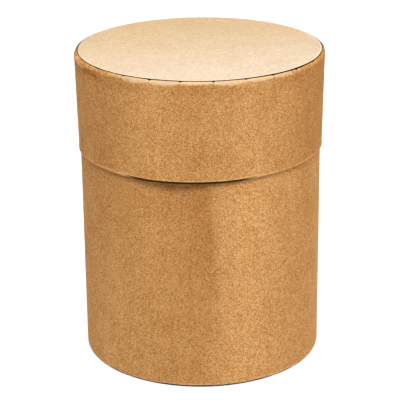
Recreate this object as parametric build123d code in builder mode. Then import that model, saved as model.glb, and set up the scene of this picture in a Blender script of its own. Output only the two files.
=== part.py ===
from build123d import *

import os
from math import cos, pi, sin

# Fiber drum with a telescoping slip lid, in millimetres.
# Frame: origin at the centre of the base, where the drum stands, with +Z up the drum's axis.
# Both walls are tubes wound from kraft board. The closed end of each tube is turned in over the
# square edge of an inner disc, crimped at even steps, pressed flat into a flange, and covered by
# an outer disc that is glued into the rebate within the fold.

# Drum body
body_outer_diameter = 232.0
body_wall_thickness = 2.0
body_height = 299.0  # from the floor to the rim of the mouth

# Slip lid
lid_wall_thickness = 1.2
lid_clearance = 0.3  # all round, between the lid's lower edge and the drum's wall
lid_flare = 1.8  # the lid's radius at its top is this much more than at its lower edge
lid_overlap = 91.5  # how far the lid's wall comes down over the drum's wall

# Turned-in ends, alike on the drum's foot and the lid's top
fold_width = 2.4  # from the wall's outside in to the crown
fold_height = 2.7  # from the crown along the wall to where the wall is straight
fold_steps = 5  # creases in which the board goes round the fold
crown_land = 0.3  # flat top of the fold, beside the outer disc
rebate_depth = 0.8  # the flange is pressed this far below the crown
flange_thickness = 1.2
flange_width = 18.0

# Crimps that take up the spare board round each fold
crimp_count = 24
crimp_start_angle = 6.0  # degrees from +X, so that the crimps lie as they do on the lid's front
crimp_depth = 0.6  # below the crown, beside the outer disc
crimp_run = 2.0  # below the crown, where a crimp runs out on the wall
crimp_width = 1.8  # across a crimp at the crown
crimp_overrun = 1.0  # the crimping cut passes this far beyond the board

# Discs that close the ends
outer_disc_thickness = 1.3
outer_disc_gap = 0.4  # dark line between an outer disc and the fold around it
inner_disc_thickness = 2.0
inner_disc_fit = 0.2  # between an inner disc and the wall around it

# Directions along the drum's axis
up = 1
down = -1

# Radii
body_radius = body_outer_diameter / 2
body_inner_radius = body_radius - body_wall_thickness
foot_rebate_radius = body_radius - fold_width - crown_land
lid_edge_inner_radius = body_radius + lid_clearance
lid_inner_radius = lid_edge_inner_radius + lid_flare
lid_radius = lid_inner_radius + lid_wall_thickness
lid_rebate_radius = lid_radius - fold_width - crown_land

# Heights in the foot, counted up from the floor
foot_flange_low = outer_disc_thickness
foot_flange_high = foot_flange_low + flange_thickness
foot_crown = foot_flange_low - rebate_depth

# Heights in the lid, counted up from the rim of the mouth that carries it
lid_flange_low = body_height + inner_disc_thickness
lid_flange_high = lid_flange_low + flange_thickness
lid_crown = lid_flange_high + rebate_depth
lid_edge = body_height - lid_overlap


def wall_outline(outer_radius, wall, flare, rebate_radius, open_end, crown):
    """Half section of a wall, from its open end round the fold to the flange and back inside."""
    into_tube = up if open_end > crown else down
    flange_out = crown + into_tube * rebate_depth
    flange_in = flange_out + into_tube * flange_thickness
    inner_radius = outer_radius - wall
    flange_edge = inner_radius - flange_width
    turns = [pi / 2 * step / fold_steps for step in range(fold_steps + 1)]
    fold = [
        (
            outer_radius - fold_width * (1 - cos(turn)),
            crown + into_tube * fold_height * (1 - sin(turn)),
        )
        for turn in turns
    ]
    Polyline(
        (outer_radius - flare, open_end),
        *fold,
        (rebate_radius, crown),
        (rebate_radius, flange_out),
        (flange_edge, flange_out),
        (flange_edge, flange_in),
        (inner_radius, flange_in),
        (inner_radius - flare, open_end),
        close=True,
    )


def crimp_line(outer_radius, rebate_radius, crown, into_tube):
    """Bottom of one crimp, from beside the outer disc to where it runs out on the wall."""
    start = Vector(rebate_radius, 0, crown + into_tube * crimp_depth)
    end = Vector(outer_radius, 0, crown + into_tube * crimp_run)
    beyond = (end - start).normalized() * crimp_overrun
    return start - beyond, end + beyond


def crimp_plane(line, into_tube):
    """Plane across a crimp at its start, with its Y out of the board."""
    start, end = line
    return Plane(origin=start, x_dir=(0, -into_tube, 0), z_dir=end - start)


def crimp_outline():
    """V of one crimp, seen along its line: pointed at the line and wide open outside the board."""
    height = crimp_run + crimp_overrun
    half_width = height * crimp_width / 2 / crimp_depth
    Polyline((0, 0), (half_width, height), (-half_width, height), close=True)


# Drum wall: a wound tube, open at the top and turned in at the foot
foot_crimp_line = crimp_line(body_radius, foot_rebate_radius, foot_crown, up)

with BuildPart() as foot_crimp:
    with BuildSketch(crimp_plane(foot_crimp_line, up)):
        with BuildLine():
            crimp_outline()
        make_face()
    extrude(amount=(foot_crimp_line[1] - foot_crimp_line[0]).length)

with BuildPart() as body_wall:
    with BuildSketch(Plane.XZ):
        with BuildLine():
            wall_outline(body_radius, body_wall_thickness, 0, foot_rebate_radius, body_height, foot_crown)
        make_face()
    revolve(axis=Axis.Z)
    with PolarLocations(0, crimp_count, start_angle=crimp_start_angle):
        add(foot_crimp.part, mode=Mode.SUBTRACT)
body_wall.part.label = "body_wall"

# Bottom, inside: the disc that the foot is turned in over
with BuildPart() as bottom_inner_disc:
    with BuildSketch(Plane.XY.offset(foot_flange_high)):
        Circle(body_inner_radius - inner_disc_fit)
    extrude(amount=inner_disc_thickness)
bottom_inner_disc.part.label = "bottom_inner_disc"

# Bottom, outside: the disc glued over the flange, on which the drum stands
with BuildPart() as bottom_outer_disc:
    with BuildSketch():
        Circle(foot_rebate_radius - outer_disc_gap)
    extrude(amount=outer_disc_thickness)
bottom_outer_disc.part.label = "bottom_outer_disc"

# Lid wall: a wider tube that slips over the drum's wall, flared and turned in at the top
lid_crimp_line = crimp_line(lid_radius, lid_rebate_radius, lid_crown, down)

with BuildPart() as lid_crimp:
    with BuildSketch(crimp_plane(lid_crimp_line, down)):
        with BuildLine():
            crimp_outline()
        make_face()
    extrude(amount=(lid_crimp_line[1] - lid_crimp_line[0]).length)

with BuildPart() as lid_wall:
    with BuildSketch(Plane.XZ):
        with BuildLine():
            wall_outline(lid_radius, lid_wall_thickness, lid_flare, lid_rebate_radius, lid_edge, lid_crown)
        make_face()
    revolve(axis=Axis.Z)
    with PolarLocations(0, crimp_count, start_angle=crimp_start_angle):
        add(lid_crimp.part, mode=Mode.SUBTRACT)
lid_wall.part.label = "lid_wall"

# Lid, inside: the disc that rests on the rim of the mouth
with BuildPart() as lid_inner_disc:
    with BuildSketch(Plane.XY.offset(body_height)):
        Circle(lid_inner_radius - inner_disc_fit)
    extrude(amount=inner_disc_thickness)
lid_inner_disc.part.label = "lid_inner_disc"

# Lid, outside: the pale disc that shows on top
with BuildPart() as lid_outer_disc:
    with BuildSketch(Plane.XY.offset(lid_flange_high)):
        Circle(lid_rebate_radius - outer_disc_gap)
    extrude(amount=outer_disc_thickness)
lid_outer_disc.part.label = "lid_outer_disc"

os.makedirs("parts", exist_ok=True)
export_step(body_wall.part, "parts/body_wall.step")
export_step(bottom_inner_disc.part, "parts/bottom_inner_disc.step")
export_step(bottom_outer_disc.part, "parts/bottom_outer_disc.step")
export_step(lid_wall.part, "parts/lid_wall.step")
export_step(lid_inner_disc.part, "parts/lid_inner_disc.step")
export_step(lid_outer_disc.part, "parts/lid_outer_disc.step")
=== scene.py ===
import bpy
import math
import random
from mathutils import Matrix, Vector, noise


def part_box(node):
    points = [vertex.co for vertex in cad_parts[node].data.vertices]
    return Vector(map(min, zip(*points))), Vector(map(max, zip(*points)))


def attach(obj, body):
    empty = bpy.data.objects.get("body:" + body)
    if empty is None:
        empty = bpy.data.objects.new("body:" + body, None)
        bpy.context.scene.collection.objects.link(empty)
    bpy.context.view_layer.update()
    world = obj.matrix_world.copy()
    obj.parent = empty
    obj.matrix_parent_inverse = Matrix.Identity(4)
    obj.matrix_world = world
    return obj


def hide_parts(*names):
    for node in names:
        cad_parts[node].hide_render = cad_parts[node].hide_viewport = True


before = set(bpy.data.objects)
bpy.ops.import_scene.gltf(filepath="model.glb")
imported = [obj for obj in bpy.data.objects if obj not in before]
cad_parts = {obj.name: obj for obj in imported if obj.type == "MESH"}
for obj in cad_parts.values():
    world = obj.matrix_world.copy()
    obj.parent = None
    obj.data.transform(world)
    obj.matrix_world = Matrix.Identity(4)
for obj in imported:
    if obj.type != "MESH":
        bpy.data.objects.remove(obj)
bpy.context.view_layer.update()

mm = 0.001
skinRadius = 117.0 * mm             # about that of both walls, for what lies on their skin
hair = 0.05 * mm                    # keeps two faces off each other
sharpAngle = 48.0                   # degrees between two faces that make a sharp edge
leastTurn = 0.09                    # degrees, at least, from one column of faces to the next

# small helpers for shapes


def smooth(low, high, value):       # from 0 at low to 1 at high, eased at both
    t = min(1.0, max(0.0, (value - low) / (high - low)))
    return t * t * (3.0 - 2.0 * t)


def bell(value, width):
    return math.exp(-(value / width) ** 2)


def between(first, second, share):
    return first + (second - first) * share


def turnGap(a, b):                  # degrees from b to a, the short way round
    return (a - b + 180.0) % 360.0 - 180.0


def nearTurn(turn, middle, width):  # 1 at the middle, fading to both sides
    return bell(turnGap(turn, middle), width)


def spot(turn, radius, height):     # turn is in degrees from the front, + to the right
    a = math.radians(turn)
    return (radius * math.sin(a), -radius * math.cos(a), height)


def ripple(turn, height, size, seed):       # smooth noise on the drum's skin, -1 to 1
    x, y, z = spot(turn, skinRadius / size, height / size)
    return noise.noise(Vector((x + seed, y - seed, z + 2.0 * seed)))


def swell(turn, height, size, seed):        # the same, 0 to 1
    return 0.5 + 0.5 * ripple(turn, height, size, seed)


def spread(start, end, count):      # count steps after start, up to end
    return [between(start, end, i / count) for i in range(1, count + 1)]


def turnsRound(step, fineSpots, fineSteps):
    turns = [i * step for i in range(round(360.0 / step))]
    for fine in fineSpots:
        turns += [(fine + s) % 360.0 for s in fineSteps]
    kept = []
    for turn in sorted(turns):
        if not kept or turn - kept[-1] > leastTurn:
            kept.append(turn)
    return kept


# mesh makers


def finishMesh(name, verts, faces, faceUvs, faceMats, marks, materials, body, node):
    mesh = bpy.data.meshes.new(name)
    mesh.from_pydata(verts, [], faces)
    for material in materials:
        mesh.materials.append(material)
    mesh.polygons.foreach_set("material_index", faceMats)
    mesh.polygons.foreach_set("use_smooth", [True] * len(faces))
    layer = mesh.uv_layers.new(name="OFBake")
    layer.data.foreach_set("uv", [value for uv in faceUvs for corner in uv for value in corner])
    for label, values in marks.items():
        mesh.attributes.new(label, "FLOAT", "POINT").data.foreach_set("value", values)
    mesh.update()
    mesh.set_sharp_from_angle(angle=math.radians(sharpAngle))
    piece = bpy.data.objects.new(name, mesh)
    bpy.context.scene.collection.objects.link(piece)
    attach(piece, body)
    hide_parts(node)
    print(name, len(verts), "points,", sum(len(f) - 2 for f in faces), "triangles")
    return piece


wallMarks = ("wornAndLit", "tone", "shadeAndDirt")       # values of each point, which the paint reads
wallLayout = {"margin": 0.01, "radius": 118.0 * mm}     # for the bake: round the drum, along the outline


# a wall is one closed outline carried all the way round
def wallPiece(name, turns, rows, placed, materials, body, node):
    count, ring = len(rows), len(turns)
    verts, marks = [], {mark: [] for mark in wallMarks}
    for row in rows:
        for turn in turns:
            radius, height, *values = placed(turn, row)
            verts.append(spot(turn, radius, height))
            for mark, value in zip(wallMarks, values):
                marks[mark].append(value)
    run = [0.0]                      # length along the outline
    for j in range(count):
        a, b = rows[j], rows[(j + 1) % count]
        run.append(run[-1] + math.hypot(b["r"] - a["r"], b["z"] - a["z"]))
    around = 2.0 * math.pi * wallLayout["radius"]
    faces, faceUvs, faceMats = [], [], []
    for j in range(count):
        k = (j + 1) % count
        v0, v1 = [wallLayout["margin"] + length / around for length in run[j:j + 2]]
        for i in range(ring):
            n = (i + 1) % ring
            faces.append((j * ring + i, j * ring + n, k * ring + n, k * ring + i))
            u0 = turns[i] / 360.0
            u1 = turns[n] / 360.0 if n else 1.0
            faceUvs.append(((u0, v0), (u1, v0), (u1, v1), (u0, v1)))
            faceMats.append(rows[j]["mat"])
    return finishMesh(name, verts, faces, faceUvs, faceMats, marks, materials, body, node)


# for the bake: a disc's underside and top lie side by side, with its edge as a strip beyond them
discLayout = {"lowMid": (0.25, 0.4), "highMid": (0.75, 0.4), "half": 0.24, "spare": 1.02,
              "strip": (0.01, 0.99), "stripLow": 0.80, "stripTall": 0.1}


# a disc is rings from the middle of its underside, round its edge, to the middle of its top
def discPiece(name, turns, rows, placed, materials, body, node):
    count, ring = len(rows), len(turns)
    verts = [placed(turn, row) for row in rows for turn in turns]
    lowMid, highMid = len(verts), len(verts) + 1
    for row in (rows[0], rows[-1]):
        mid = [placed(turn, row) for turn in turns]
        verts.append(tuple(sum(p[i] for p in mid) / ring for i in range(3)))
    reach = max(row["r"] for row in rows) * discLayout["spare"]
    cutRows = [j for j in range(count) if rows[j]["mat"] == 1]

    def layOut(j, i, side, turn):
        if side == "cut":
            u = between(*discLayout["strip"], turn / 360.0)
            return (u, discLayout["stripLow"] + discLayout["stripTall"] * (j - cutRows[0]) / len(cutRows))
        midX, midY = discLayout["highMid" if side == "high" else "lowMid"]
        x, y = verts[i][:2]
        return (midX + discLayout["half"] * x / reach, midY + discLayout["half"] * y / reach)

    faces, faceUvs, faceMats = [], [], []
    for j in range(count - 1):
        side = "low" if j < cutRows[0] else "high"
        if j in cutRows:
            side = "cut"
        for i in range(ring):
            n = (i + 1) % ring
            quad = (j * ring + i, j * ring + n, (j + 1) * ring + n, (j + 1) * ring + i)
            t0 = turns[i]
            t1 = turns[n] if n else 360.0
            faces.append(quad)
            faceUvs.append((layOut(j, quad[0], side, t0), layOut(j, quad[1], side, t1),
                            layOut(j + 1, quad[2], side, t1), layOut(j + 1, quad[3], side, t0)))
            faceMats.append(1 if side == "cut" else 0)
    for i in range(ring):
        n = (i + 1) % ring
        faces.append((lowMid, n, i))
        faceUvs.append(tuple(layOut(0, p, "low", 0.0) for p in faces[-1]))
        faces.append((highMid, (count - 1) * ring + i, (count - 1) * ring + n))
        faceUvs.append(tuple(layOut(count - 1, p, "high", 0.0) for p in faces[-1]))
        faceMats += [0, 0]
    return finishMesh(name, verts, faces, faceUvs, faceMats, {}, materials, body, node)


# node helpers


def put(tree, kind, settings, feeds):
    node = tree.nodes.new("ShaderNode" + kind)
    for key, value in settings.items():
        setattr(node, key, value)
    for key, value in feeds.items():
        if isinstance(value, bpy.types.NodeSocket):
            tree.links.new(value, node.inputs[key])
        else:
            node.inputs[key].default_value = value
    return node


def calc(tree, operation, first, second=0.0, third=0.0):
    return put(tree, "Math", {"operation": operation}, {0: first, 1: second, 2: third}).outputs[0]


def mixColour(tree, share, first, second, blend="MIX"):
    settings = {"data_type": "RGBA", "blend_type": blend, "clamp_factor": True}
    return put(tree, "Mix", settings, {0: share, 6: first, 7: second}).outputs[2]


def ramp(tree, value, low, high, toLow=0.0, toHigh=1.0):
    settings = {"interpolation_type": "SMOOTHSTEP", "clamp": True}
    feeds = {"Value": value, "From Min": low, "From Max": high, "To Min": toLow, "To Max": toHigh}
    return put(tree, "MapRange", settings, feeds).outputs["Result"]


def speckle(tree, vector, patch):
    size, detail, roughness = patch
    feeds = {"Vector": vector, "Scale": 1.0 / size, "Detail": detail, "Roughness": roughness}
    return put(tree, "TexNoise", {"noise_dimensions": "3D"}, feeds).outputs["Fac"]


def cellsOf(tree, vector, size):
    feeds = {"Vector": vector, "Scale": 1.0 / size, "Randomness": 1.0}
    return put(tree, "TexVoronoi", {"feature": "F1"}, feeds).outputs


def stretch(tree, vector, around, upward):
    feeds = {0: vector, 1: (around, upward, 1.0)}
    return put(tree, "VectorMath", {"operation": "MULTIPLY"}, feeds).outputs[0]


def newGroup(name, inputs, outputs):
    tree = bpy.data.node_groups.new(name, "ShaderNodeTree")
    for label, kind, value in inputs:
        socket = tree.interface.new_socket(label, in_out="INPUT", socket_type="NodeSocket" + kind)
        if value is not None:
            socket.default_value = value
    for label, kind in outputs:
        tree.interface.new_socket(label, in_out="OUTPUT", socket_type="NodeSocket" + kind)
    return tree, tree.nodes.new("NodeGroupInput").outputs, tree.nodes.new("NodeGroupOutput").inputs


# node groups

black = (0.0, 0.0, 0.0, 1.0)
white = (1.0, 1.0, 1.0, 1.0)
# noise in paper and board: size, detail, roughness
patches = {
    "cloud": (22.0 * mm, 3.0, 0.5), "grain": (3.2 * mm, 2.0, 0.7), "fibre": (0.9 * mm, 2.0, 0.6),
    "bands": (4.0 * mm, 3.0, 0.6), "rubbedAndLit": (3.0 * mm, 3.0, 0.7), "lightShadePatch": (9.0 * mm, 3.0, 0.6),
    "shadedAndDirty": (6.0 * mm, 3.0, 0.6), "fuzz": (1.1 * mm, 3.0, 0.7),
}
cellSize = {"speck": 0.72 * mm, "fleck": 3.4 * mm}
# scale round and up the drum: below 1, a patch is longer that way
scales = {"speck": (1.0, 0.85), "fibre": (1.0, 0.3), "bands": (1.0, 0.05), "fleck": (0.55, 1.0)}
# how far out a fleck fades, and from which pick of a cell it is dark or pale
fleckSpan = {"fade": (0.05, 0.17), "dark": (0.55, 0.75), "pale": (0.62, 0.8)}


# lays the round wall out flat: round the drum, up the drum, and a number of its own for each sheet
def makeWallSheet():
    tree, given, out = newGroup("wallSheet",
                                [("Vector", "Vector", None), ("Lap", "Float", 0.0),
                                 ("Sheet", "Float", 0.0), ("Radius", "Float", skinRadius)],
                                [("Flat", "Vector"), ("Depth", "Float")])
    parts = put(tree, "SeparateXYZ", {}, {0: given["Vector"]}).outputs
    angle = calc(tree, "ARCTAN2", parts["X"], calc(tree, "MULTIPLY", parts["Y"], -1.0))
    wrapped = calc(tree, "WRAP", calc(tree, "SUBTRACT", angle, given["Lap"]), math.pi, -math.pi)
    feeds = {"X": calc(tree, "MULTIPLY", wrapped, given["Radius"]), "Y": parts["Z"], "Z": given["Sheet"]}
    tree.links.new(put(tree, "CombineXYZ", {}, feeds).outputs[0], out["Flat"])
    squares = calc(tree, "ADD", calc(tree, "POWER", parts["X"], 2.0), calc(tree, "POWER", parts["Y"], 2.0))
    tree.links.new(calc(tree, "SQRT", squares), out["Depth"])
    return tree


# kraft paper: clouds, grain, points of dark and pale fibre, streaks up the drum, flecks
def makePaperFace():
    tree, given, out = newGroup("paperFace",
                                [("Vector", "Vector", None), ("Dark", "Color", black),
                                 ("Pale", "Color", white), ("Fleck", "Color", black),
                                 ("Cloud", "Float", 0.5), ("Grain", "Float", 0.5),
                                 ("Speck", "Float", 0.3), ("Fibre", "Float", 0.5),
                                 ("Bands", "Float", 0.1), ("Flecks", "Float", 0.5)],
                                [("Color", "Color"), ("Roughness", "Float"), ("Height", "Float")])
    vector = given["Vector"]
    cloud = speckle(tree, vector, patches["cloud"])
    grain = speckle(tree, vector, patches["grain"])
    fibre = speckle(tree, stretch(tree, vector, *scales["fibre"]), patches["fibre"])
    bands = speckle(tree, stretch(tree, vector, *scales["bands"]), patches["bands"])
    speck = cellsOf(tree, stretch(tree, vector, *scales["speck"]), cellSize["speck"])["Color"]
    speck = calc(tree, "SUBTRACT", put(tree, "SeparateColor", {}, {0: speck}).outputs[0], 0.5)
    speck = calc(tree, "MULTIPLY", speck, calc(tree, "ABSOLUTE", speck))       # most stay near the middle
    speck = calc(tree, "MULTIPLY_ADD", speck, 2.0, 0.5)
    tone = 0.5                       # each texture swings the tone about its middle
    for texture, amount in ((cloud, "Cloud"), (grain, "Grain"), (speck, "Speck"), (fibre, "Fibre"),
                            (bands, "Bands")):
        swing = calc(tree, "MULTIPLY", calc(tree, "SUBTRACT", texture, 0.5), given[amount])
        tone = calc(tree, "ADD", swing, tone)
    colour = mixColour(tree, tone, given["Dark"], given["Pale"])
    # flecks: one cell in a few holds one, each a short bit of bark or of bleached fibre
    cells = cellsOf(tree, stretch(tree, vector, *scales["fleck"]), cellSize["fleck"])
    pick = put(tree, "SeparateColor", {}, {0: cells["Color"]}).outputs
    inFleck = ramp(tree, cells["Distance"], *fleckSpan["fade"], 1.0, 0.0)
    dark = calc(tree, "MULTIPLY", inFleck, ramp(tree, pick[0], *fleckSpan["dark"]))
    pale = calc(tree, "MULTIPLY", inFleck, ramp(tree, pick[1], *fleckSpan["pale"]))
    colour = mixColour(tree, calc(tree, "MULTIPLY", pale, given["Flecks"]), colour, given["Pale"])
    colour = mixColour(tree, calc(tree, "MULTIPLY", dark, given["Flecks"]), colour, given["Fleck"])
    tree.links.new(colour, out["Color"])
    tree.links.new(ramp(tree, tone, 0.2, 0.8, 0.9, 0.8), out["Roughness"])     # pale paper is smoother
    tree.links.new(calc(tree, "ADD", calc(tree, "MULTIPLY", fibre, 0.6), grain), out["Height"])
    return tree


# paper rubbed pale along folds and edges, from the mesh's own worn value, which at the front also paints
# the highlight on the crown and along the lid's lower edge; its grain still shows
def makeRubbedAndLit():
    tree, given, out = newGroup("rubbedAndLitEdge",
                                [("Vector", "Vector", None), ("Color", "Color", white),
                                 ("RubbedAndLit", "Color", white), ("WornAndLit", "Float", 0.0),
                                 ("Amount", "Float", 1.0)],
                                [("Color", "Color"), ("Mask", "Float")])
    patch = speckle(tree, given["Vector"], patches["rubbedAndLit"])
    swing = calc(tree, "MULTIPLY", calc(tree, "SUBTRACT", patch, 0.5), 1.6)
    mask = calc(tree, "MULTIPLY", ramp(tree, calc(tree, "ADD", given["WornAndLit"], swing), 0.2, 1.1),
                given["Amount"])
    tree.links.new(mixColour(tree, mask, given["Color"], given["RubbedAndLit"]), out["Color"])
    tree.links.new(mask, out["Mask"])
    return tree


# painted light and shade: the tone value of the mesh is + for a painted highlight and - for painted shade,
# and also - along the lap seam for a dark line there
def makePaintedLightShade():
    tree, given, out = newGroup("paintedLightShade",
                                [("Vector", "Vector", None), ("Color", "Color", white),
                                 ("Tone", "Float", 0.0), ("PaintedLight", "Color", white),
                                 ("Darken", "Color", white)],
                                [("Color", "Color")])
    patch = speckle(tree, given["Vector"], patches["lightShadePatch"])
    uneven = calc(tree, "MULTIPLY", given["Tone"], calc(tree, "ADD", patch, 0.5))
    pale = calc(tree, "MAXIMUM", uneven, 0.0)
    dark = calc(tree, "MAXIMUM", calc(tree, "MULTIPLY", uneven, -1.0), 0.0)
    colour = mixColour(tree, pale, given["Color"], given["PaintedLight"], "MULTIPLY")
    tree.links.new(mixColour(tree, dark, colour, given["Darken"], "MULTIPLY"), out["Color"])
    return tree


# painted shade along edges, from the mesh's own shade value; at the drum's foot it is partly floor dirt as
# well
def makeShadeAndDirt():
    tree, given, out = newGroup("shadeAndDirtEdge",
                                [("Vector", "Vector", None), ("Color", "Color", white),
                                 ("Darken", "Color", black), ("ShadeAndDirt", "Float", 0.0)],
                                [("Color", "Color"), ("Unmarked", "Float")])
    patch = calc(tree, "SUBTRACT", speckle(tree, given["Vector"], patches["shadedAndDirty"]), 0.5)
    mask = ramp(tree, calc(tree, "MULTIPLY_ADD", patch, 0.5, given["ShadeAndDirt"]), 0.2, 0.8)
    tree.links.new(mixColour(tree, mask, given["Color"], given["Darken"], "MULTIPLY"), out["Color"])
    tree.links.new(calc(tree, "SUBTRACT", 1.0, mask), out["Unmarked"])
    return tree


# the cut edge of the board: thin plies side by side
def makeCutPlies():
    tree, given, out = newGroup("cutPlies",
                                [("Vector", "Vector", None), ("Depth", "Float", 0.0),
                                 ("Dark", "Color", black), ("Pale", "Color", white),
                                 ("Ply", "Float", 0.4 * mm)],
                                [("Color", "Color"), ("Height", "Float")])
    fuzz = speckle(tree, given["Vector"], patches["fuzz"])
    count = calc(tree, "DIVIDE", given["Depth"], given["Ply"])
    count = calc(tree, "ADD", count, calc(tree, "MULTIPLY", fuzz, 0.7))
    line = calc(tree, "PINGPONG", count, 0.5)
    tone = calc(tree, "ADD", calc(tree, "MULTIPLY", line, 1.2), calc(tree, "SUBTRACT", fuzz, 0.3))
    tree.links.new(mixColour(tree, tone, given["Dark"], given["Pale"]), out["Color"])
    tree.links.new(tone, out["Height"])
    return tree


wallSheet = makeWallSheet()
paperFace = makePaperFace()
rubbedAndLitEdge = makeRubbedAndLit()
paintedLightShade = makePaintedLightShade()
shadeAndDirtEdge = makeShadeAndDirt()
cutPlies = makeCutPlies()
print("node groups made")

# materials


def useGroup(tree, group, feeds):
    return put(tree, "Group", {"node_tree": group}, feeds).outputs


def newMaterial(name, specular):
    material = bpy.data.materials.new(name)
    material.use_nodes = True
    tree = material.node_tree
    shader = tree.nodes["Principled BSDF"]
    shader.inputs["Specular IOR Level"].default_value = specular
    return material, tree, shader, tree.nodes.new("ShaderNodeTexCoord").outputs["Object"]


def addBump(tree, shader, height, sheet):
    feeds = {"Strength": sheet["bump"], "Distance": sheet["bumpDeep"], "Height": height}
    tree.links.new(put(tree, "Bump", {}, feeds).outputs[0], shader.inputs["Normal"])


def addPaper(tree, shader, vector, sheet):      # gives the colour, which the caller may change
    feeds = {"Vector": vector, "Dark": sheet["dark"], "Pale": sheet["pale"], "Fleck": sheet["fleck"]}
    paper = useGroup(tree, paperFace, {**feeds, **sheet["mix"]})
    tree.links.new(paper["Roughness"], shader.inputs["Roughness"])
    addBump(tree, shader, paper["Height"], sheet)
    return paper["Color"]


kraft = {
    "dark": (0.43, 0.172, 0.037, 1.0),
    "pale": (0.74, 0.405, 0.155, 1.0),
    "fleck": (0.20, 0.085, 0.026, 1.0),
    "mix": {"Cloud": 0.6, "Grain": 0.45, "Speck": 1.7, "Fibre": 0.6, "Bands": 0.4, "Flecks": 0.6},
    "rubbedAndLit": (0.69, 0.48, 0.265, 1.0), "rubAndLitAmount": 0.9,
    "paintedLight": (1.28, 1.36, 1.5, 1.0),       # painted highlight, painted shade, and painted shade with some floor dirt are gains on the paper's colour
    "paintedShade": (0.60, 0.41, 0.18, 1.0),
    "shadeAndDirt": (0.055, 0.036, 0.028, 1.0),
    "specular": 0.06, "coat": 0.35, "coatRough": 0.4, "bump": 0.12, "bumpDeep": 0.12 * mm,
}


def wallKraft(name, lap, sheet):
    material, tree, shader, coords = newMaterial(name, kraft["specular"])
    flat = useGroup(tree, wallSheet, {"Vector": coords, "Lap": math.radians(lap), "Sheet": sheet})["Flat"]
    colour = addPaper(tree, shader, flat, kraft)
    wornAndLit, tone, shadeAndDirt = [put(tree, "Attribute", {"attribute_name": mark}, {}).outputs["Fac"]
                         for mark in wallMarks]
    lightShade = useGroup(tree, paintedLightShade, {"Vector": flat, "Color": colour, "Tone": tone,
                                         "PaintedLight": kraft["paintedLight"], "Darken": kraft["paintedShade"]})
    edge = useGroup(tree, rubbedAndLitEdge, {"Vector": coords, "Color": lightShade["Color"], "WornAndLit": wornAndLit,
                                       "RubbedAndLit": kraft["rubbedAndLit"], "Amount": kraft["rubAndLitAmount"]})
    shadedAndDirty = useGroup(tree, shadeAndDirtEdge, {"Vector": coords, "Color": edge["Color"],
                                         "Darken": kraft["shadeAndDirt"], "ShadeAndDirt": shadeAndDirt})
    tree.links.new(shadedAndDirty["Color"], shader.inputs["Base Color"])
    sheen = calc(tree, "MULTIPLY", edge["Mask"], shadedAndDirty["Unmarked"])       # rubbed paper shines a little
    tree.links.new(calc(tree, "MULTIPLY", sheen, kraft["coat"]), shader.inputs["Coat Weight"])
    shader.inputs["Coat Roughness"].default_value = kraft["coatRough"]
    return material


insideKraft = {
    "dark": (0.38, 0.20, 0.08, 1.0),
    "pale": (0.68, 0.42, 0.20, 1.0),
    "fleck": (0.22, 0.11, 0.045, 1.0),
    "mix": {"Cloud": 0.7, "Grain": 1.1, "Fibre": 0.8, "Bands": 0.3, "Flecks": 0.6},
    "lap": 2.6,                      # radians
    "specular": 0.3, "bump": 0.4, "bumpDeep": 0.14 * mm,
}


def insidePaper(name, sheet, wound):
    material, tree, shader, coords = newMaterial(name, insideKraft["specular"])
    flat = coords
    if wound:
        feeds = {"Vector": coords, "Lap": insideKraft["lap"], "Sheet": sheet}
        flat = useGroup(tree, wallSheet, feeds)["Flat"]
    tree.links.new(addPaper(tree, shader, flat, insideKraft), shader.inputs["Base Color"])
    return material


paleKraft = {
    "dark": (0.61, 0.43, 0.255, 1.0),
    "pale": (0.81, 0.625, 0.42, 1.0),
    "fleck": (0.45, 0.30, 0.155, 1.0),
    "mix": {"Cloud": 0.5, "Grain": 1.5, "Fibre": 0.6, "Bands": 0.1, "Flecks": 0.35},
    "litFront": (1.01, 1.07, 1.2, 1.0),        # painted light: gains that make the disc paler at its front and darker at its back
    "shadedBack": (0.915, 0.855, 0.74, 1.0),
    "slant": -0.2, "reach": 110.0 * mm,
    "rim": (0.86, 0.72, 0.52, 1.0),         # painted highlight: paler along the rim
    "rimIn": 2.2 * mm, "rimOut": 0.6 * mm, "rimShare": 0.75,
    "specular": 0.16, "bump": 0.22, "bumpDeep": 0.1 * mm,
}


def discPaper(name, rimRadius):
    material, tree, shader, coords = newMaterial(name, paleKraft["specular"])
    colour = addPaper(tree, shader, coords, paleKraft)
    # painted light: the disc paler towards its front and darker towards its back
    parts = put(tree, "SeparateXYZ", {}, {0: coords}).outputs
    across = calc(tree, "MULTIPLY_ADD", parts["X"], paleKraft["slant"], parts["Y"])
    back = ramp(tree, across, -paleKraft["reach"], paleKraft["reach"])
    gain = mixColour(tree, back, paleKraft["litFront"], paleKraft["shadedBack"])
    colour = mixColour(tree, 1.0, colour, gain, "MULTIPLY")
    # painted highlight along the rim
    out = useGroup(tree, wallSheet, {"Vector": coords})["Depth"]
    rim = ramp(tree, out, rimRadius - paleKraft["rimIn"], rimRadius - paleKraft["rimOut"],
               0.0, paleKraft["rimShare"])
    tree.links.new(mixColour(tree, rim, colour, paleKraft["rim"]), shader.inputs["Base Color"])
    return material


cutBoard = {"ply": 0.4 * mm, "roughness": 0.85, "bump": 0.5, "bumpDeep": 0.1 * mm}
wallCut = {"dark": (0.10, 0.05, 0.02, 1.0), "pale": (0.40, 0.24, 0.11, 1.0), "specular": 0.25,
           "wound": True}
grooveShadeCut = {"dark": (0.025, 0.012, 0.005, 1.0), "pale": (0.06, 0.03, 0.012, 1.0), "specular": 0.04,
             "wound": False}         # painted shade: near black, as the groove beside a disc lies in shade


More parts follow.
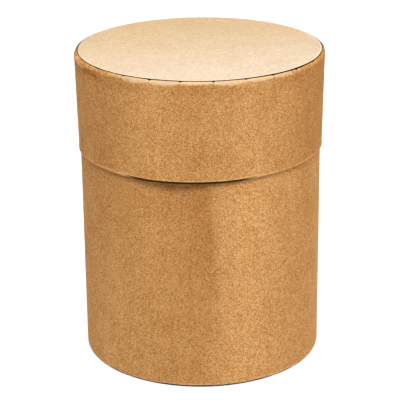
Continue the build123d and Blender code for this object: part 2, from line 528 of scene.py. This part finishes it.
def edgeBoard(name, cut):
    material, tree, shader, coords = newMaterial(name, cut["specular"])
    if cut["wound"]:                 # plies of a wall lie round it, those of a disc lie flat
        depth = useGroup(tree, wallSheet, {"Vector": coords})["Depth"]
    else:
        depth = put(tree, "SeparateXYZ", {}, {0: coords}).outputs["Z"]
    plies = useGroup(tree, cutPlies, {"Vector": coords, "Depth": depth, "Dark": cut["dark"],
                                      "Pale": cut["pale"], "Ply": cutBoard["ply"]})
    tree.links.new(plies["Color"], shader.inputs["Base Color"])
    shader.inputs["Roughness"].default_value = cutBoard["roughness"]
    addBump(tree, shader, plies["Height"], cutBoard)
    return material


topLow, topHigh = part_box("lid_outer_disc")
lidKraft = wallKraft("lidKraft", -165.0, 0.31)
drumKraft = wallKraft("drumKraft", 158.0, 0.87)
lidInside = insidePaper("lidInsidePaper", 0.13, True)
drumInside = insidePaper("drumInsidePaper", 0.59, True)
flatInside = insidePaper("flatInsidePaper", 0.0, False)
topPaper = discPaper("paleDiscPaper", topHigh.x)
wallEdge = edgeBoard("wallCutEdge", wallCut)
grooveShadeEdge = edgeBoard("grooveShadeCutEdge", grooveShadeCut)
print("materials made")

# walls

# rows by the open end: how far in from it, and how far the paper is rubbed pale there, which on the lid's
# front also paints a highlight along the lower edge
openRows = ((0.0, 0.9), (0.5 * mm, 0.9), (1.0 * mm, 0.9), (1.4 * mm, 0.9), (1.75 * mm, 1.0),
            (2.05 * mm, 0.8), (2.45 * mm, 0.4), (3.0 * mm, 0.0), (4.0 * mm, 0.0))
paperMat, insideMat, cutMat, grooveMat = range(4)       # order of a wall's materials


# outline of a wall whose closed end is up: out and up the outside, over the fold, in along the
# flange, back out under it and down the inside; radius, height, where it is, and its finish
def wallRows(size):
    radius, low, crown, bevel = size["radius"], size["low"], size["high"], size["bevel"]
    foldStart = crown - size["foldTall"]
    floor = crown - size["rebate"]
    under = floor - size["flange"]
    rows = []

    def outside(z):                  # both faces narrow from the closed end to the open one
        return radius - size["flare"] * (foldStart - z) / (foldStart - low)

    def inside(z):
        return radius - size["board"] - size["flare"] * (under - z) / (under - low)

    def add(r, z, part, fold, mat, wornAndLit):
        rows.append({"r": r, "z": z, "part": part, "fold": fold, "mat": mat, "wornAndLit": wornAndLit})

    add(outside(low) - bevel, low, "edge", 0.0, paperMat, 1.0)
    add(outside(low) - 0.3 * bevel, low + 0.3 * bevel, "out", 0.0, paperMat, 1.0)
    for rise, wornAndLit in openRows:
        z = low + bevel + rise
        add(outside(z), z, "out", 0.0, paperMat, wornAndLit)
    plainTop = foldStart - size["fineBand"]
    plain = spread(low + bevel + openRows[-1][0], plainTop, size["plainRows"])
    for z in sorted(plain + size["extraRows"]) + spread(plainTop, foldStart, size["fineRows"]):
        add(outside(z), z, "out", 0.0, paperMat, 0.0)
    steps = size["foldRows"]
    for i in range(1, steps + 1):    # flatter than a round, as board folds
        a = 0.5 * math.pi * i / steps
        across = size["foldWide"] * (1.0 - math.cos(a) ** size["foldFlat"])
        rise = size["foldTall"] * math.sin(a) ** size["foldFlat"]
        add(radius - across, foldStart + rise, "out", i / steps, paperMat, 0.0)
    lip = radius - size["foldWide"] - size["land"]
    # the lip and the flange beside the disc take the near-black painted shade of the groove
    add(lip, crown - hair, "out", 1.0, grooveMat, 0.5)
    add(lip, floor, "flange", 0.6, grooveMat, 0.0)
    for r in spread(lip, size["flangeInner"], 3):
        add(r, floor, "flange", 0.0, grooveMat, 0.0)
    rows[-1]["mat"] = cutMat
    add(size["flangeInner"], under, "flange", 0.0, insideMat, 0.0)
    for r in spread(size["flangeInner"], inside(under), 3):
        add(r, under, "flange", 0.0, insideMat, 0.0)
    rows[-1]["part"] = "in"
    for z in spread(under, low + bevel, size["insideRows"]):
        add(inside(z), z, "in", 0.0, insideMat, 0.0)
    add(inside(low) + bevel, low, "edge", 0.0, cutMat, 0.6)
    return rows


def turnedOver(rows, low, high):    # the same outline with its closed end down
    count = len(rows)
    flipped = []
    for k in range(count):
        row = dict(rows[count - 1 - k])
        row["z"] = low + high - row["z"]
        row["mat"] = rows[(count - 2 - k) % count]["mat"]
        flipped.append(row)
    return flipped


# the slack of crimps made on a press: turn, depth, width, and how far down the next puff swings
crimpSlack = {"turn": (-2.2, 2.2), "deep": (0.45, 1.0), "wide": (0.7, 1.3), "swing": (0.5, 0.95)}


def crimpSet(size, seed):
    draw = random.Random(seed)
    crimps = []
    for i in range(size["crimps"]):
        turn = size["crimpFirst"] + i * 360.0 / size["crimps"] + draw.uniform(*crimpSlack["turn"])
        crimps.append([turn % 360.0, draw.uniform(*crimpSlack["deep"]), draw.uniform(*crimpSlack["wide"])])
    for crimp in crimps:
        crimp.append(draw.uniform(*crimpSlack["swing"]))
    for turn, deep, wide, swing in size["crimpSeen"]:
        nearest = min(crimps, key=lambda crimp: abs(turnGap(crimp[0], turn)))
        nearest[:] = [turn % 360.0, deep, wide, swing]
    return sorted(crimps)


# how far a crimp goes in and down, what fades down the wall below it, and the skin's wrinkles
foldShape = {
    "crimpFrom": 0.1, "crimpIn": 0.8 * mm, "crimpDown": 0.95 * mm,
    "crimpBelow": 0.45 * mm, "crimpFade": 2.0 * mm,
    "lipOff": 1.5, "lipWide": 0.8 * mm, "puffRound": 0.7, "puffDown": 0.25 * mm, "puffFade": 7.0 * mm,
    "wrinkle": 0.12 * mm, "acrossSize": 3.5 * mm, "downSize": 5.0 * mm,
}


# for one turn: how far into a crimp it is, how far up the puff between two crimps, how far down
# that puff swings, and how near the lip of a crimp is
def foldState(turn, crimps, radius):
    pinch, puffSwing, lip = 0.0, 1.0, 0.0
    before, after = -360.0, 360.0
    for at, deep, wide, swing in crimps:
        gap = turnGap(turn, at)
        across = math.radians(gap) * radius
        pinch = max(pinch, deep * bell(across, wide * mm))
        lip = max(lip, deep * bell(across - foldShape["lipOff"] * wide * mm, foldShape["lipWide"]))
        if gap >= 0.0 and -gap > before:
            before, puffSwing = -gap, swing
        elif gap < 0.0:
            after = min(after, -gap)
    share = min(1.0, max(0.0, -before / max(1e-6, after - before)))
    return pinch, math.sin(math.pi * share) ** foldShape["puffRound"], puffSwing, lip


# a crease runs between two spots of the wall, each a turn and a depth below the crown
def creaseGap(crease, turn, deep):
    (turnA, deepA), (turnB, deepB) = crease["from"], crease["to"]
    scale = math.radians(1.0) * skinRadius
    dx, dy = turnGap(turnB, turnA) * scale, deepB - deepA
    px, py = turnGap(turn, turnA) * scale, deep - deepA
    along = min(1.0, max(0.0, (px * dx + py * dy) / (dx * dx + dy * dy)))
    return math.hypot(px - along * dx, py - along * dy)


# how far each kind of wear, painted highlight and painted shade reaches: pairs run from none to full, span
# a range, or are a middle and a width; turns are in degrees, depths in metres, and folds in shares of the
# way over
wear = {
    "lapReach": 50.0, "lapDark": (-0.1, 0.45), "lapTone": 0.9,
    "hangLeft": (-46.0, -22.0), "hangRight": (36.0, 12.0), "cutFade": 25.0 * mm, "lipFade": 1.2 * mm,
    "cockleSize": 45.0 * mm, "cockleTall": 0.25, "flank": 1.7,
    "rimTurn": (-4.0, 36.0), "rimWornAndLit": 0.5, "edgeShadow": (2.1 * mm, 1.75 * mm), "lidShadowWide": 1.2 * mm,
    "backTone": (70.0, 92.0), "backShadeTurn": (82.0, 95.0), "backFold": (0.45, 0.8),
    "footDarkAll": 0.9, "footDarkMore": 0.3, "footDarkTurn": (18.0, 30.0), "footDarkFold": (0.05, 0.3),
    "underDeep": 9.0 * mm, "underWide": 6.0 * mm, "creasePaleWide": 0.85,
    "rubLitTurn": (56.0, 28.0), "rubLitEdge": 0.3 * mm, "rubLitEdgeSize": 4.0 * mm,
    "rubLitDeep": (2.2 * mm, -1.6 * mm), "highlightDeep": (1.8 * mm, 0.4 * mm),
    "lipWorn": 0.6, "lipDeep": (2.2, 0.8),      # in fold heights
}


def lapAt(turn, lap, step):         # the outer ply's end lies on the ply under it, which sinks to it
    before = turnGap(lap, turn)
    return step * (1.0 - before / wear["lapReach"]) if 0.0 < before < wear["lapReach"] else 0.0


def hangAt(turn):                    # the part of the lid's lower edge that hangs low in front
    fromFront = turnGap(turn, 0.0)
    return min(smooth(*wear["hangLeft"], fromFront), smooth(*wear["hangRight"], fromFront))


# columns of faces, in degrees about a crimp, about a lap outside and from a lap inside
fineSteps = (-1.6, -1.1, -0.75, -0.45, -0.2, 0.0, 0.2, 0.45, 0.75, 1.1, 1.6)
lapSteps = (-0.2, 0.0, 0.35, 0.55)
insideLapSteps = (0.0, 0.35)


def makeWall(name, size, materials, body, node, seed):
    low, high = size["low"], size["high"]
    rows = wallRows(size)
    if not size["closedUp"]:
        rows = turnedOver(rows, low, high)
    up, crownAt, openAt = (1.0, high, low) if size["closedUp"] else (-1.0, low, high)
    crimps = crimpSet(size, seed)
    laps = [size["lap"] + step for step in lapSteps]
    laps += [size["insideLap"] + step for step in insideLapSteps]
    turns = turnsRound(size["step"], [crimp[0] for crimp in crimps] + size["fineTurns"], fineSteps)
    turns = sorted(set(turns) | {lap % 360.0 for lap in laps})
    states = {turn: foldState(turn, crimps, size["radius"]) for turn in turns}
    bands = [dict(zip(bandKeys, band)) for band in size["bands"]]

    def leanAt(turn, share, item):   # degrees from a dent or band that may slant up the wall
        return turnGap(turn, item["turn"] + item["slant"] * (1.0 - share))

    def sideBell(lean, item):
        return bell(lean, item["left"] if lean < 0.0 else item["right"])

    def slackAt(turn, z, share):     # never quite round, and dented where it was leaned on
        push = size["oval"] * (0.5 + 0.5 * math.cos(math.radians(2.0 * (turn - size["ovalTurn"]))))
        push += size["cockle"] * swell(turn, wear["cockleTall"] * z, wear["cockleSize"], seed)
        for dent in size["dents"]:
            lean = leanAt(turn, share, dent)
            level = between(dent["foot"], dent["deep"], smooth(dent["from"], dent["to"], z))
            if lean > 0.0 and dent["crest"]:         # ends at a crest, which is a little round
                flank = 1.0 - (lean / dent["right"]) ** wear["flank"]
                push += level * 0.5 * (flank + math.hypot(flank, dent["crest"]))
            else:
                push += level * sideBell(lean, dent)
        return push

    # painted light and shade in bands up the wall, and a dark line along the lap seam
    def bandTone(turn, share):
        tone = 0.0
        for band in bands:
            tone += between(band["foot"], band["top"], share) * sideBell(leanAt(turn, share, band), band)
        lapFrom, lapTo = wear["lapDark"]
        if lapFrom < turnGap(turn, size["lap"]) < lapTo:
            tone -= wear["lapTone"]
        return tone

    def wrinkle(turn, z, patch, more):
        return foldShape["wrinkle"] * (0.6 + 0.4 * ripple(turn, z, patch, seed + more))

    # the fold swings down the wall between two crimps; how far in and how deep a point then is
    def foldedAt(turn, z, fold, tall, pinch, puff):
        deep = up * (crownAt - z)
        if fold == 0.0:
            away = deep - size["foldTall"]
            deep += (tall - size["foldTall"]) * math.exp(-away / foldShape["puffFade"])
            return foldShape["crimpBelow"] * pinch * math.exp(-away / foldShape["crimpFade"]), deep
        deep *= tall / size["foldTall"]
        push = foldShape["crimpIn"] * pinch * math.sin(math.pi * between(foldShape["crimpFrom"], 1.0, fold))
        push += wrinkle(turn, z, foldShape["acrossSize"], 7.0) * math.sin(math.pi * fold)
        push += fold ** 3 * size["lipIn"] * nearTurn(turn, *size["lipInTurn"])
        sink = size["crownDrop"] + foldShape["crimpDown"] * pinch + foldShape["puffDown"] * (1.0 - puff)
        sink += wrinkle(turn, z, foldShape["downSize"], 3.0)
        sink += size["sink"] * nearTurn(turn, *size["sinkTurn"])
        return push, deep + fold * sink

    def placed(turn, row):
        r, z, fold = row["r"], row["z"], row["fold"]
        if row["part"] == "flange":
            return r, z - up * hair * fold, 0.0, 0.0, 0.0
        share = (z - low) / (high - low)
        # the open end isn't cut square
        fromOpen = abs(z - openAt)
        cut = size["cutUp"] + size["cutTilt"] * math.sin(math.radians(turn)) - size["hang"] * hangAt(turn)
        cut *= math.exp(-fromOpen / wear["cutFade"])
        push = slackAt(turn, z, share)
        if row["part"] == "in":
            push -= lapAt(turn, size["insideLap"], size["lapStep"])
            return r - push, z + up * cut, 0.0, 0.0, 0.0
        push += lapAt(turn, size["lap"], size["lapStep"])
        push -= size["lipOut"] * math.exp(-fromOpen / wear["lipFade"])
        pinch, puff, swing, lip = states[turn]
        tall = between(size["lobeLow"], size["lobeHigh"], swing * puff)
        foldPush, deep = foldedAt(turn, z, fold, tall, pinch, puff)
        push += foldPush
        # rubbed pale along the open end, with a painted highlight just above a painted shadow line along
        # the lid's lower edge at the front, and painted shade on the drum just under that edge
        rim = between(size["rimSides"], size["rimFront"], nearTurn(turn, *wear["rimTurn"])) * row["wornAndLit"]
        wornAndLit = wear["rimWornAndLit"] * rim
        tone = bandTone(turn, share) + size["rimHighlight"] * rim
        shadeAndDirt = size["edgeShadow"] * hangAt(turn) * smooth(*wear["edgeShadow"], fromOpen)
        shadeAndDirt += size["lidEdgeShadow"] * hangAt(turn) * bell(z - size["lidEdgeAt"], wear["lidShadowWide"])
        if row["part"] == "out":
            # the proud crease carries a painted highlight and the hollow painted shade
            for crease in size["creases"]:
                off = creaseGap(crease, turn, deep)
                push += crease["deep"] * bell(off, crease["wide"])
                wornAndLit += crease["pale"] * bell(off, wear["creasePaleWide"] * crease["wide"])
                tone += crease["tone"] * bell(off, crease["wide"])
            if fold > 0.0:
                # painted shade: the fold darker at the back
                fromFront = abs(turnGap(turn, 0.0))
                tone -= size["backShade"] * smooth(*wear["backTone"], fromFront)
                backDarkness = size["backShade"] * smooth(*wear["backShadeTurn"], fromFront)
                shadeAndDirt += backDarkness * smooth(*wear["backFold"], fold)
                # painted contact shadow, partly floor dirt: the foot is dark where it meets floors, most to
                # the right of the front
                footDark = wear["footDarkAll"] + wear["footDarkMore"] * nearTurn(turn, *wear["footDarkTurn"])
                shadeAndDirt += size["footShadeAndDirt"] * footDark * smooth(*wear["footDarkFold"], fold)
            # painted shade below the fold
            tone -= size["underShade"] * bell(deep - wear["underDeep"], wear["underWide"])
            # rubbed pale over the fold, with a painted highlight on the crown, both strongest towards the
            # front
            frontShare = smooth(*wear["rubLitTurn"], abs(turnGap(turn, size["rubLitTurn"])))
            much = between(size["rubLitSides"], size["rubLitFront"], frontShare)
            below = deep - tall + wear["rubLitEdge"] * ripple(turn, 0.0, wear["rubLitEdgeSize"], seed + 5.0)
            wornAndLit = max(wornAndLit, much * smooth(*wear["rubLitDeep"], below))
            tone += size["rubHighlight"] * much * smooth(*wear["highlightDeep"], below)
            wornAndLit += wear["lipWorn"] * lip * smooth(*wear["lipDeep"], deep / tall)
        return r - push, crownAt - up * (deep - cut), wornAndLit, tone, shadeAndDirt

    return wallPiece(name, turns, rows, placed, materials, body, node)


lidLow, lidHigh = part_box("lid_wall")
drumLow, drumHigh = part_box("body_wall")

# bands of painted light and shade up a wall, in this order: widths are in degrees, and levels are + for a
# painted highlight and - for painted shade
bandKeys = ("turn", "slant", "left", "right", "top", "foot")
# what both walls have, and no wear; each wall below says what differs
plainWall = {
    "foldWide": 2.4 * mm, "foldFlat": 1.2, "land": 0.3 * mm, "rebate": 0.8 * mm, "flange": 1.2 * mm,
    "flare": 0.0, "extraRows": [], "step": 0.75, "fineTurns": [],
    "crimps": 24, "crimpFirst": 6.0, "crimpSeen": [],
    "oval": 0.2 * mm, "ovalTurn": 0.0, "cockle": 0.12 * mm, "lapStep": 0.3 * mm,
    "lipOut": 0.0, "cutUp": 0.0, "cutTilt": 0.0, "hang": 0.0,
    "sink": 0.0, "sinkTurn": (46.0, 22.0), "lipIn": 0.0, "lipInTurn": (-84.0, 34.0),
    "rubHighlight": 0.0, "rimFront": 1.0, "rimSides": 1.0, "rimHighlight": 0.0,
    "footShadeAndDirt": 0.0, "backShade": 0.0, "underShade": 0.0, "edgeShadow": 0.0,
    "lidEdgeShadow": 0.0, "lidEdgeAt": lidLow.z,        # painted shade on the drum just below the lid's lower edge
    "dents": [], "bands": [], "creases": [],
}
lidWall = {
    **plainWall,
    "radius": lidHigh.x, "board": 1.2 * mm, "flare": 1.8 * mm, "low": lidLow.z, "high": lidHigh.z,
    "closedUp": True, "foldTall": 3.2 * mm, "flangeInner": 100.1 * mm, "bevel": 0.35 * mm,
    "plainRows": 12, "fineBand": 22.0 * mm, "fineRows": 22, "foldRows": 11, "insideRows": 14,
    "fineTurns": [-77.0, -73.5, -66.5, -64.0],
    # the crimps that the front shows: turn, depth, width, and how far down the next puff swings
    "crimpSeen": [(-85.0, 0.6, 0.9, 0.4), (-70.1, 1.1, 1.0, 0.5), (-52.9, 0.9, 1.0, 0.5),
                  (-36.1, 0.8, 1.0, 1.0), (-22.7, 1.0, 1.2, 0.95), (-8.6, 0.8, 0.9, 0.5),
                  (5.9, 0.9, 1.1, 1.05), (20.5, 0.7, 0.9, 0.7), (34.3, 0.8, 1.0, 0.8),
                  (48.7, 1.2, 1.3, 0.6), (63.8, 1.1, 1.2, 0.5)],
    "crownDrop": 0.35 * mm, "lobeLow": 2.0 * mm, "lobeHigh": 4.6 * mm,
    "lap": 195.0, "insideLap": 150.0,
    # painted highlight over the crown and along the lower edge at the front
    "rubLitTurn": 2.0, "rubLitFront": 0.95, "rubLitSides": 0.12, "rimSides": 0.15, "rimHighlight": 1.1,
    "lipOut": 0.45 * mm, "cutUp": 1.15 * mm, "cutTilt": 1.0 * mm, "hang": 1.75 * mm,
    # painted shade at the back of the fold and below it, and a painted shadow line along the lower edge
    "sink": 0.4 * mm, "lipIn": 0.6 * mm, "backShade": 0.7, "underShade": 0.2, "edgeShadow": 1.0,
    "dents": [
        {"turn": -2.0, "slant": 0.0, "left": 9.0, "right": 7.0, "deep": 0.25 * mm,
         "foot": 0.25 * mm, "from": 0.19, "to": 0.25, "crest": 0.0},
        # the lower edge stands off the drum in front
        {"turn": -4.0, "slant": 0.0, "left": 30.0, "right": 26.0, "deep": 0.0,
         "foot": -0.8 * mm, "from": 0.207, "to": 0.27, "crest": 0.0},
    ],
    # painted light and shade in bands round the lid
    "bands": [
        (-47.0, 0.0, 14.0, 10.0, -0.15, -0.3),
        (-22.0, 0.0, 7.0, 8.0, 0.34, 0.4),
        (-4.0, 0.0, 5.0, 6.0, -0.1, 0.0),
        (21.0, 0.0, 8.0, 11.0, 0.15, 0.45),
        (60.0, 0.0, 15.0, 22.0, -0.3, -0.3),
    ],
    # crumples at the left: one stands proud, rubbed pale with a painted highlight, the other is a hollow
    # with painted shade
    "creases": [
        {"from": (-78.0, 1.6 * mm), "to": (-64.5, 5.6 * mm), "deep": -0.35 * mm, "wide": 1.1 * mm,
         "pale": 1.0, "tone": 1.0},
        {"from": (-65.0, 7.5 * mm), "to": (-54.0, 8.5 * mm), "deep": 0.9 * mm, "wide": 3.0 * mm,
         "pale": 0.0, "tone": -0.5},
    ],
}
lidEdgeRows = (-2.6, -1.6, -0.9, -0.3, 0.3, 0.9, 1.6, 2.6)     # millimetres about the lid's lower edge
drumWall = {
    **plainWall,
    "radius": drumHigh.x, "board": 2.0 * mm, "low": drumLow.z, "high": drumHigh.z, "closedUp": False,
    "foldTall": 2.7 * mm, "flangeInner": 96.0 * mm, "bevel": 0.3 * mm,
    "plainRows": 34, "fineBand": 14.0 * mm, "fineRows": 9, "foldRows": 9, "insideRows": 26,
    "extraRows": [drumHigh.z - lidLow.z + rise * mm for rise in lidEdgeRows],
    "crownDrop": 0.05 * mm, "lobeLow": 2.3 * mm, "lobeHigh": 3.1 * mm,
    "lap": 158.0, "insideLap": 40.0,
    # rubbed pale over the fold with a painted highlight
    "rubLitTurn": 16.0, "rubLitFront": 1.25, "rubLitSides": 0.25, "rubHighlight": 1.0,
    # painted contact shadow, partly floor dirt, at the foot, and painted shade below the lid's lower edge
    "footShadeAndDirt": 1.0, "lidEdgeShadow": 0.4,
    # leaned on in front: a long dent whose right flank ends at a crest
    "dents": [{"turn": -14.8, "slant": 11.5, "left": 14.0, "right": 15.0, "deep": 3.2 * mm,
               "foot": 0.5 * mm, "from": 0.02, "to": 0.22, "crest": 0.25}],
    # painted light and shade in bands round the drum
    "bands": [
        (-22.0, 4.0, 24.0, 14.0, -0.3, 0.0),
        (-1.5, 11.5, 9.0, 2.6, -0.65, -0.1),
        (22.0, -2.0, 9.0, 18.0, 0.55, 0.8),
        (-45.0, 0.0, 22.0, 12.0, -0.4, 0.38),
        (-25.0, 0.0, 7.0, 8.0, 0.2, 0.25),
        (9.0, 0.0, 6.0, 7.0, -0.05, 0.4),
        (57.0, 0.0, 12.0, 16.0, -0.25, 0.05),
        (80.0, 0.0, 12.0, 30.0, 0.3, 0.4),
        (-78.0, 0.0, 30.0, 9.0, 0.2, 0.2),
    ],
}
makeWall("lidWall", lidWall, [lidKraft, lidInside, wallEdge, grooveShadeEdge], "lid", "lid_wall", 11)
makeWall("drumWall", drumWall, [drumKraft, drumInside, wallEdge, grooveShadeEdge], "drum", "body_wall", 23)

# discs

underRings = (0.08, 0.25, 0.45, 0.65, 0.82, 0.93, 0.98)     # shares of the radius
topRings = (0.985, 0.96, 0.92, 0.86, 0.78, 0.68, 0.56, 0.44, 0.32, 0.2, 0.08)
# slack of a disc: from where its rim is ragged or lifts, and where its warp sets in
discSlack = {"rim": (0.75, 1.0), "raggedSize": 6.0 * mm, "warp": (0.1, 0.6), "warpSize": 50.0 * mm,
             "warpOut": 0.3}


def discRows(size):
    radius, low, high, bevel = size["radius"], size["low"], size["high"], size["bevel"]
    under = size["undercut"]         # the die leaves the top paper standing over the board
    rows = [(radius * share, low, 0) for share in underRings]
    rows += [(radius - under, low, 1), (radius - 0.8 * under, 0.5 * (low + high), 1),
             (radius - 0.3 * under, high - 1.6 * bevel, 1), (radius, high - bevel, 0),
             (radius - 0.3 * bevel, high - 0.3 * bevel, 0), (radius - bevel, high, 0)]
    rows += [(radius * share, high, 0) for share in topRings]
    return [{"r": r, "z": z, "mat": mat} for r, z, mat in rows]


def makeDisc(name, size, materials, body, node, seed):
    rows = discRows(size)
    turns = [float(i) for i in range(360)]
    sign = 1.0 if size["faceUp"] else -1.0

    def placed(turn, row):
        r, z = row["r"], row["z"]
        share = r / size["radius"]
        rim = smooth(*discSlack["rim"], share)
        r -= size["ragged"] * rim * swell(turn, 0.0, discSlack["raggedSize"], seed)
        lift = 0.0
        for turnAt, wide, tall in size["lifts"]:
            lift = max(lift, tall * nearTurn(turn, turnAt, wide) * rim)
        share = r / size["radius"]
        wave = swell(turn, discSlack["warpOut"] * r, discSlack["warpSize"], seed + 2.0)
        z += sign * (lift - size["lower"] - size["warp"] * wave * smooth(*discSlack["warp"], share))
        x, y, z = spot(turn, r, z)
        return (x + size["shift"], y, z)

    return discPiece(name, turns, rows, placed, materials, body, node)


footLow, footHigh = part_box("bottom_outer_disc")
underLidLow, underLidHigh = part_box("lid_inner_disc")
floorLow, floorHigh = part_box("bottom_inner_disc")

plainDisc = {"bevel": 0.2 * mm, "undercut": 0.2 * mm, "warp": 0.0, "lower": 0.0, "shift": 0.0,
             "faceUp": True, "lifts": []}
topDisc = {
    **plainDisc, "radius": topHigh.x - 0.35 * mm, "low": topLow.z + 0.41 * mm, "high": topHigh.z,
    "bevel": 0.1 * mm, "undercut": 0.6 * mm, "ragged": 0.2 * mm, "warp": 0.04 * mm, "lower": 0.35 * mm,
    "shift": 0.3 * mm,
    # where the rim has lifted: turn, width, height
    "lifts": [(28.0, 12.0, 0.2 * mm), (52.0, 16.0, 0.34 * mm), (74.0, 12.0, 0.2 * mm),
              (-20.0, 14.0, 0.1 * mm), (-95.0, 15.0, 0.12 * mm)],
}
footDisc = {
    **plainDisc, "radius": footHigh.x - 0.1 * mm, "low": footLow.z, "high": footHigh.z,
    "ragged": 0.2 * mm, "shift": -0.1 * mm, "faceUp": False,
}
underLidDisc = {
    **plainDisc, "radius": underLidHigh.x - 0.6 * mm, "low": underLidLow.z + 0.02 * mm,
    "high": underLidHigh.z, "ragged": 0.15 * mm,
}
floorDisc = {
    **plainDisc, "radius": floorHigh.x - 1.2 * mm, "low": floorLow.z, "high": floorHigh.z,
    "bevel": 0.3 * mm, "ragged": 0.25 * mm, "warp": 0.08 * mm, "shift": 0.1 * mm,
}
makeDisc("topDisc", topDisc, [topPaper, grooveShadeEdge], "lid", "lid_outer_disc", 31)
makeDisc("footDisc", footDisc, [topPaper, grooveShadeEdge], "drum", "bottom_outer_disc", 37)
makeDisc("underLidDisc", underLidDisc, [flatInside, grooveShadeEdge], "lid", "lid_inner_disc", 41)
makeDisc("floorDisc", floorDisc, [flatInside, grooveShadeEdge], "drum", "bottom_inner_disc", 43)

# stage: floor, light and camera

stage = {"floorSize": 8.0, "floorColour": (0.55, 0.55, 0.55, 1.0), "floorRough": 0.9, "floorGlow": 0.8,
         "floorDrop": 0.02 * mm, "worldLight": 0.1, "aim": (0.0, 0.0, 0.18)}


def seenRay(tree):                   # 1 where the stage itself is seen, 0 where it only gives light
    light = put(tree, "LightPath", {}, {}).outputs
    seen = calc(tree, "MAXIMUM", light["Is Camera Ray"], light["Is Glossy Ray"])
    return calc(tree, "MAXIMUM", seen, light["Is Transmission Ray"])


def makeFloor():
    half = 0.5 * stage["floorSize"]
    corners = [(-half, -half, 0), (half, -half, 0), (half, half, 0), (-half, half, 0)]
    mesh = bpy.data.meshes.new("studioFloor")
    mesh.from_pydata(corners, [], [(0, 1, 2, 3)])
    floor = bpy.data.objects.new("studioFloor", mesh)
    bpy.context.scene.collection.objects.link(floor)
    floor.location.z = -stage["floorDrop"]
    material = bpy.data.materials.new("studioFloorPaper")
    material.use_nodes = True
    tree = material.node_tree
    shader = tree.nodes["Principled BSDF"]
    shader.inputs["Base Color"].default_value = stage["floorColour"]
    shader.inputs["Roughness"].default_value = stage["floorRough"]
    shader.inputs["Specular IOR Level"].default_value = 0.0
    shader.inputs["Emission Color"].default_value = white
    glow = calc(tree, "MULTIPLY", seenRay(tree), stage["floorGlow"])
    tree.links.new(glow, shader.inputs["Emission Strength"])
    # seen from beneath, the floor is clear
    back = put(tree, "NewGeometry", {}, {}).outputs["Backfacing"]
    clear = put(tree, "BsdfTransparent", {}, {}).outputs[0]
    both = put(tree, "MixShader", {}, {0: back, 1: shader.outputs[0], 2: clear})
    tree.links.new(both.outputs[0], tree.nodes["Material Output"].inputs["Surface"])
    mesh.materials.append(material)


def makeWorld():
    world = bpy.data.worlds.new("studioRoom")
    bpy.context.scene.world = world
    world.use_nodes = True
    tree = world.node_tree
    feeds = {"Value": seenRay(tree), "To Min": stage["worldLight"], "To Max": 1.0}
    level = put(tree, "MapRange", {}, feeds).outputs["Result"]
    room = tree.nodes["Background"]
    room.inputs["Color"].default_value = white
    tree.links.new(level, room.inputs["Strength"])


lamps = {
    "frontTop": {"at": (0.0, -1.15, 1.95), "size": 1.1, "watts": 47.0},
    "overhead": {"at": (0.0, -0.5, 2.3), "size": 1.3, "watts": 8.0},
    "rightFar": {"at": (1.7, -0.6, 0.6), "size": 0.7, "watts": 3.6},
    "rightSide": {"at": (1.65, 0.45, 0.15), "size": 0.9, "watts": 13.0},
    "leftSide": {"at": (-1.65, 0.45, 0.1), "size": 0.9, "watts": 11.0},
    "back": {"at": (0.0, 1.7, 1.4), "size": 0.8, "watts": 5.0},
}


def makeLamps():
    for name, lamp in lamps.items():
        light = bpy.data.lights.new(name, "AREA")
        light.shape = "DISK"
        light.size = lamp["size"]
        light.energy = lamp["watts"]
        item = bpy.data.objects.new(name, light)
        bpy.context.scene.collection.objects.link(item)
        item.location = lamp["at"]
        aim = Vector(stage["aim"]) - item.location
        item.rotation_euler = aim.to_track_quat("-Z", "Y").to_euler()


# angles are in degrees, lens and sensor in millimetres
camera = {"at": (0.0, -1.4617, 0.6957), "turn": 0.0381, "tilt": 69.442, "roll": -0.584, "lens": 142.62,
          "sensor": 36.0}


def makeCamera():
    data = bpy.data.cameras.new("photoCamera")
    data.sensor_fit = "HORIZONTAL"
    data.sensor_width = camera["sensor"]
    data.lens = camera["lens"]
    item = bpy.data.objects.new("photoCamera", data)
    bpy.context.scene.collection.objects.link(item)
    facing = (Matrix.Rotation(math.radians(camera["turn"]), 4, "Z")
              @ Matrix.Rotation(math.radians(camera["tilt"]), 4, "X")
              @ Matrix.Rotation(math.radians(camera["roll"]), 4, "Z"))
    item.matrix_world = Matrix.Translation(camera["at"]) @ facing
    bpy.context.scene.camera = item


makeFloor()
makeWorld()
makeLamps()
makeCamera()
bpy.context.scene.view_settings.view_transform = "Standard"
print("stage set")
